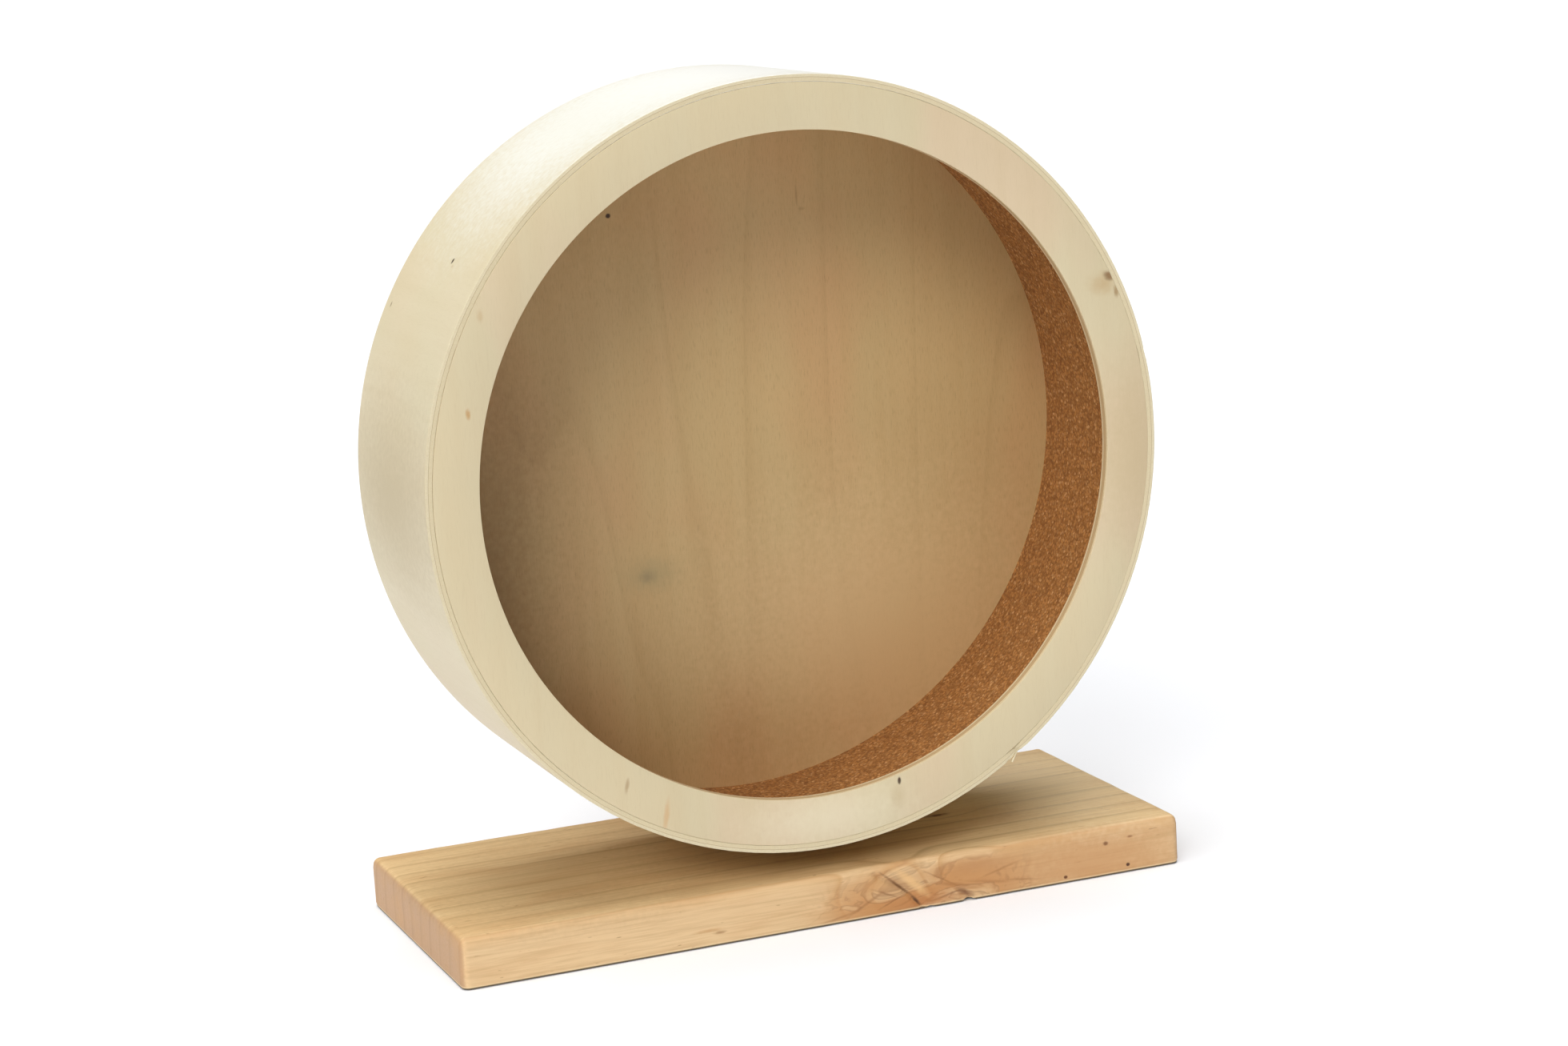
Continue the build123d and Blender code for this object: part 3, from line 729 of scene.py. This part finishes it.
dent(drumHoop, hoopFront, 0.16, grain=1.4)
dent(drumHoop, lambda spot, normal: hoopFront(spot, normal) * nearAngle(spot, hoop["chipAngle"], 1.6),
     0.5, grain=0.9)
dent(drumHoop, lambda spot, normal: nearAngle(spot, hoop["seamAngle"], 0.4) * (axleDistance(spot) > 144.4),
     0.3)
dent(drumHoop, lambda spot, normal: hoopFront(spot, normal) * nearAngle(spot, hoop["tearAngle"], 1.8),
     1.2, grain=0.8)
clearSelection()
angle = math.radians(hoop["splinterAngle"])
bpy.ops.mesh.primitive_cone_add(vertices=6, radius1=0.45 * mm, radius2=0.08 * mm, depth=6.0 * mm,
                                rotation=(0, math.radians(32), 0),
                                location=metres(wheel["axleX"] + hoop["splinterRadius"] * math.cos(angle),
                                                -60.9,
                                                wheel["axleZ"] + hoop["splinterRadius"] * math.sin(angle)))
splinter = named("splinter")
settle(splinter)
joined(drumHoop, splinter)
paintFaces(smoothed(drumHoop), [hoopWood, hoopPlies],
           lambda spot, normal: int(142.3 < axleDistance(spot) < 144.75 and abs(normal.y) > 0.5))
place(drumHoop, "wheel", "hoop_plywood", "rim_band")

ring = {"inner": 124.75, "outer": 142.0, "front": wheel["front"], "back": -57.0, "ease": 0.1,
        "easeSteps": 3, "steps": 720, "cuts": (-60.2, -59.0)}
frontRing = spunRing("frontRing", ring)
paintFaces(smoothed(frontRing), [ringWood, ringPlies],
           lambda spot, normal: int(not ring["inner"] + 0.12 <= axleDistance(spot) <= ring["outer"] - 0.1))
place(frontRing, "wheel", "ring_plywood", "front_ring")

cork = {"inner": 139.0, "outer": 142.0, "front": -57.0, "back": 20.5, "ease": 0.05, "easeSteps": 1,
        "steps": 840, "innerCuts": 74, "relief": 0.35}
corkLining = spunRing("corkLining", cork)
dent(corkLining, lambda spot, normal: float(axleDistance(spot) < cork["inner"] + 0.02), -cork["relief"],
     grain=1.1, level=0.9)
paintFaces(smoothed(corkLining, 80), [corkSheet])
place(corkLining, "wheel", "cork", "cork_lining")


def roundBlock(name, block, vertices):  # a round block on the axle, its edges eased
    piece = addDowel(name, block["radius"], block["front"], block["back"], vertices)
    settle(piece)
    for side, ease in (("front", block["frontEase"]), ("back", block["backEase"])):
        if ease:
            bevelEdges(piece, ease, 3, lambda one, two: onPlane(1, block[side], one, two))
    return piece


disc = {"radius": 142.0, "front": 20.5, "back": wheel["back"], "frontEase": 0.05, "backEase": 0.35}
backDisc = roundBlock("backDisc", disc, 512)
paintFaces(smoothed(backDisc), [discWood, discPlies], lambda spot, normal: int(abs(normal.y) < 0.3))
place(backDisc, "wheel", "disc_plywood", "back_disc")


# Base board

board = {"length": 294.0, "depth": 123.0, "thickness": 20.0, "cornerRound": 3.2, "topRound": 3.0,
         "underside": 0.6, "screwHole": 2.3, "screwApart": 36.0, "screwY": 50.0,
         "chips": [{"x": 55.4, "half": 2.8, "top": 3.4, "fade": 3.6, "depth": 2.0},
                   {"x": 39.4, "half": 2.4, "top": 2.2, "fade": 2.4, "depth": 0.9}]}
baseBoard = addBlock("baseBoard", (board["length"], board["depth"], board["thickness"]),
                     (0, 0, board["thickness"] / 2))
bevelEdges(baseBoard, board["cornerRound"], 6, lambda one, two: abs(one.z - two.z) > 10)
bevelEdges(baseBoard, board["topRound"], 5, lambda one, two: min(one.z, two.z) > 19.9)
bevelEdges(baseBoard, board["underside"], 2, lambda one, two: max(one.z, two.z) < 0.1)
cutAcross(baseBoard, 0, [*range(-140, 141, 5), *(x + 0.5 for x in range(6, 76))])
cutAcross(baseBoard, 1, [*range(-55, 56, 10), -58.4])
cutAcross(baseBoard, 2, [1.2, 1.8, 2.4, 3.2, *range(4, 17)])
print("board cut into", len(baseBoard.data.polygons), "faces")


def boardRim(spot, normal):  # 1 on the rounded and chamfered edges
    outside = max(abs(spot.x) - 143.0, abs(spot.y) - 57.5) > 0
    return 1.0 if outside and (spot.z > 16.5 or spot.z < 1.3) else 0.0


def nearLine(spot, line, width):  # 1 on a line of x, z points on the board's front, 0 a width away
    if spot.y > -60.9:
        return 0.0
    best = width
    for (x1, z1), (x2, z2) in zip(line, line[1:]):
        run = (x2 - x1) ** 2 + (z2 - z1) ** 2
        share = max(0.0, min(1.0, ((spot.x - x1) * (x2 - x1) + (spot.z - z1) * (z2 - z1)) / run))
        best = min(best, math.hypot(spot.x - x1 - share * (x2 - x1), spot.z - z1 - share * (z2 - z1)))
    return 1 - best / width


def chipped(spot, chip):  # 1 at the foot of the board's front, fading up and to both sides
    beside = max(0.0, 1 - abs(spot.x - chip["x"]) / chip["half"])
    return (spot.y < -60.5) * (spot.z < chip["top"]) * beside * (1 - spot.z / chip["fade"])


def hollowed(spot, normal):  # the worn hollow above the wider chip
    return (spot.y < -61.0) * max(0.0, 1 - math.hypot((spot.x - 54.0) / 4.0, (spot.z - 3.0) / 2.4))


crack = [(17.0, 16.6), (22.0, 13.6), (27.5, 10.6), (31.0, 6.6), (34.6, 2.6), (36.0, 1.0)]
ridge = [(22.5, 16.2), (27.0, 12.8), (31.0, 9.0), (34.5, 5.0), (38.0, 1.6)]
dent(baseBoard, boardRim, 0.35, grain=9.0)
dent(baseBoard, lambda spot, normal: nearLine(spot, crack, 1.5), 1.3)
dent(baseBoard, lambda spot, normal: nearLine(spot, ridge, 1.8), 0.7, grain=1.2)
for chip in board["chips"]:
    dent(baseBoard, lambda spot, normal: chipped(spot, chip), -chip["depth"], direction="Z")
dent(baseBoard, hollowed, 0.9, grain=1.5)

screwPlaces = [(wheel["axleX"] + side * board["screwApart"] / 2, board["screwY"]) for side in (-1, 1)]
for x, y in screwPlaces:
    clearSelection()
    bpy.ops.mesh.primitive_cylinder_add(vertices=48, radius=board["screwHole"] * mm, depth=24 * mm,
                                        location=metres(x, y, 10))
    carve(baseBoard, named("screwHole"))
    carve(baseBoard, addCone("sink", 5.75, 2.25, -1.0, 2.5, x, y))
editAll(baseBoard)
bpy.ops.mesh.remove_doubles(threshold=0.002 * mm)
bpy.ops.object.mode_set(mode="OBJECT")
paintFaces(smoothed(baseBoard, 40), [boardWood])
place(baseBoard, "stand", "board_pine", "base_board")


# Post behind the drum

post = {"width": 64.0, "front": 41.0, "back": 59.0, "foot": 20.0, "ease": 1.5,
        "pocket": 11.02, "pocketDepth": 7.0, "web": 8.0}
clearSelection()
bpy.ops.mesh.primitive_circle_add(vertices=192, radius=post["width"] / 2 * mm, fill_type="NGON",
                                  location=metres(wheel["axleX"], post["front"], wheel["axleZ"]),
                                  rotation=(math.pi / 2, 0, 0))
uprightPost = named("uprightPost")
settle(uprightPost)
editAll(uprightPost)
bpy.ops.mesh.bisect(plane_co=metres(0, 0, wheel["axleZ"]), plane_no=(0, 0, 1), clear_inner=True)
pick(uprightPost, "EDGE", lambda one, two: onPlane(2, wheel["axleZ"], one, two))
downward, backward = metres(0, 0, post["foot"] - wheel["axleZ"]), metres(0, post["back"] - post["front"], 0)
bpy.ops.mesh.extrude_region_move(TRANSFORM_OT_translate={"value": downward})
bpy.ops.mesh.select_mode(type="FACE")
bpy.ops.mesh.select_all(action="SELECT")
bpy.ops.mesh.dissolve_faces()
bpy.ops.mesh.select_all(action="SELECT")
bpy.ops.mesh.extrude_region_move(TRANSFORM_OT_translate={"value": backward})
bpy.ops.mesh.select_all(action="SELECT")
bpy.ops.mesh.normals_make_consistent(inside=False)
for level in (post["front"], post["back"]):
    bevelEdges(uprightPost, post["ease"], 3, lambda one, two: onPlane(1, level, one, two)
               and max(one.z, two.z) > post["foot"] + 0.1)
for radius, start, end in ((post["pocket"], post["front"] - 1, post["front"] + post["pocketDepth"]),
                           (post["pocket"], post["back"] - post["pocketDepth"], post["back"] + 1),
                           (post["web"], post["front"] - 1, post["back"] + 1)):
    carve(uprightPost, addDowel("bore", radius, start, end, 128))
paintFaces(smoothed(uprightPost, 30), [postWood])
place(uprightPost, "stand", "post_pine", "upright_post")


# Hub block, screws and bolt

hub = {"radius": 40.0, "front": wheel["back"], "back": 38.0, "frontEase": 0.0, "backEase": 1.2,
       "boltHole": 4.05, "headRecess": 10.4, "recessBottom": 34.5, "screwCircle": 28.0, "screwHole": 1.8,
       "sinkRadius": 3.75}
hubBlock = roundBlock("hubBlock", hub, 192)
carve(hubBlock, addBlock("neckHole", (2 * hub["boltHole"], 12, 2 * hub["boltHole"]),
                         (wheel["axleX"], 34, wheel["axleZ"])))
carve(hubBlock, addDowel("headRecess", hub["headRecess"], hub["front"] - 1, hub["recessBottom"], 96))
hubScrewPlaces = []
sinkWide = hub["sinkRadius"] + 1  # the sink's cutter starts 1 mm behind the block
sinkDepth = sinkWide - hub["screwHole"]
for quarter in range(4):
    angle = math.radians(45 + 90 * quarter)
    x = wheel["axleX"] + hub["screwCircle"] * math.cos(angle)
    z = wheel["axleZ"] + hub["screwCircle"] * math.sin(angle)
    hubScrewPlaces.append((x, z))
    carve(hubBlock, addDowel("screwHole", hub["screwHole"], 27, 41, 40, x, z))
    clearSelection()
    bpy.ops.mesh.primitive_cone_add(vertices=40, radius1=sinkWide * mm, radius2=hub["screwHole"] * mm,
                                    depth=sinkDepth * mm, rotation=(math.pi / 2, 0, 0),
                                    location=metres(x, hub["back"] + 1 - sinkDepth / 2, z))
    carve(hubBlock, named("sink"))
paintFaces(smoothed(hubBlock), [hubWood, hubPlies], lambda spot, normal: int(abs(normal.y) < 0.3))
place(hubBlock, "wheel", "hub_plywood", "hub_block")


def threadedRod(name, core, crest, pitch, length):
    # one turn of thread swept up the Z axis by the Screw modifier, cut flat at both ends
    clearSelection()
    bpy.ops.mesh.primitive_plane_add(size=1)
    piece = named(name)
    editAll(piece)
    bpy.ops.mesh.delete(type="ONLY_FACE")
    pick(piece, "EDGE", lambda one, two: min(one.x, two.x) < 0)
    bpy.ops.mesh.delete(type="EDGE")
    bpy.ops.mesh.select_all(action="SELECT")
    bpy.ops.mesh.subdivide(number_cuts=3)
    bpy.ops.object.mode_set(mode="OBJECT")
    shape = [(core, 0.0), (core, 0.3), (crest, 0.6), (crest, 0.7), (core, 1.0)]
    for point, (radius, share) in zip(sorted(piece.data.vertices, key=lambda v: v.co.y), shape):
        point.co = metres(radius, 0, pitch * (share - 1.13))
    applyModifier(piece, "SCREW", axis="Z", angle=2 * math.pi, screw_offset=pitch * mm,
                  iterations=math.ceil(length / pitch) + 2, steps=24, render_steps=24,
                  use_merge_vertices=False)
    editAll(piece)
    bpy.ops.mesh.remove_doubles(threshold=0.01 * mm)
    for height, side in ((0.0, {"clear_inner": True}), (length, {"clear_outer": True})):
        bpy.ops.mesh.select_all(action="SELECT")
        bpy.ops.mesh.bisect(plane_co=metres(0, 0, height), plane_no=(0, 0, 1),
                            use_fill=True, threshold=0.0001 * mm, **side)
    bpy.ops.mesh.select_all(action="SELECT")
    bpy.ops.mesh.normals_make_consistent(inside=False)
    bpy.ops.object.mode_set(mode="OBJECT")
    return piece


def woodScrew(name, diameter, length, pitch):
    # head down at the origin, point up the Z axis: closed shells that overlap, a cross cut in the head
    radius = diameter / 2
    thread = threadedRod(name, radius * 0.72, radius, pitch, length - radius - diameter)
    for point in thread.data.vertices:
        point.co.z += radius * mm
    head = addCone("screwHead", 2 * radius, radius * 0.9, 0, radius * 1.05)
    settle(head)
    tip = addCone("screwTip", radius * 0.71, 0.15, length - diameter - 0.05, length)
    settle(tip)
    for quarter in range(2):
        slot = addBlock("crossSlot", (radius * 2.3, radius * 0.42, radius * (1.6 + 0.05 * quarter)),
                        (0, 0, 0), quarter * math.pi / 2)
        pick(slot, "FACE", lambda spot, normal: normal.z > 0.5)
        bpy.ops.transform.resize(value=(0.45, 0.45, 1), center_override=metres(0, 0, radius * 0.8))
        bpy.ops.object.mode_set(mode="OBJECT")
        carve(head, slot)
    return smoothed(joined(thread, head, tip), 30)


def setCopies(name, model, places, turned, body, slot, node):
    # copies of one modelled screw, each with its own mesh, joined as one piece
    copies = []
    for index, spot in enumerate(places):
        copy = model.copy()
        copy.data = model.data.copy()
        scene.collection.objects.link(copy)
        spin = math.radians(23 * index)  # the crosses don't line up
        copy.rotation_euler = (turned, spin, 0) if turned else (0, 0, spin)
        copy.location = metres(*spot)
        settle(copy)
        copies.append(copy)
    joined(*copies)
    piece = named(name)
    paintFaces(piece, [metals[slot]])
    bpy.data.objects.remove(model)
    place(piece, body, slot, node)


setCopies("postScrewPair", woodScrew("longScrew", 4.5, 60.0, 2.2), [(x, y, 0.2) for x, y in screwPlaces],
          0.0, "stand", "zinc_screws", "post_screws")
setCopies("hubScrewSet", woodScrew("shortScrew", 3.5, 15.0, 1.6), [(x, 37.8, z) for x, z in hubScrewPlaces],
          math.pi / 2, "wheel", "zinc_screws", "hub_screws")

bolt = {"radius": 3.95, "core": 3.35, "pitch": 1.25, "threadFrom": 57.0, "tip": 69.5, "headSeat": 34.5,
        "headRadius": 10.0, "headHeight": 4.6, "neck": 8.0, "neckEnd": 37.8}
thread = threadedRod("boltThread", bolt["core"], bolt["radius"], bolt["pitch"],
                     bolt["tip"] - bolt["threadFrom"])
thread.rotation_euler = (-math.pi / 2, 0, 0)
thread.location = metres(wheel["axleX"], bolt["threadFrom"], wheel["axleZ"])
settle(thread)
carriageBolt = addDowel("carriageBolt", bolt["radius"] - 0.02, bolt["headSeat"], bolt["threadFrom"] + 1, 64)
settle(carriageBolt)
clearSelection()
bpy.ops.mesh.primitive_uv_sphere_add(segments=64, ring_count=32, radius=bolt["headRadius"] * mm,
                                     location=metres(wheel["axleX"], bolt["headSeat"], wheel["axleZ"]))
dome = named("dome")
dome.scale = (1, bolt["headHeight"] / bolt["headRadius"], 1)
settle(dome)
editAll(dome)
bpy.ops.mesh.bisect(plane_co=metres(0, bolt["headSeat"] + 0.02, 0), plane_no=(0, 1, 0),
                    clear_outer=True, use_fill=True, threshold=0.0001 * mm)
bpy.ops.object.mode_set(mode="OBJECT")
neck = addBlock("neck", (bolt["neck"], bolt["neckEnd"] - bolt["headSeat"] + 0.2, bolt["neck"]),
                (wheel["axleX"], (bolt["headSeat"] + bolt["neckEnd"]) / 2 - 0.1, wheel["axleZ"]))
joined(carriageBolt, dome, neck, thread)  # closed shells that overlap inside the bolt
paintFaces(smoothed(carriageBolt, 30), [metals["zinc_bolt"]])
place(carriageBolt, "wheel", "zinc_bolt", "axle_bolt")
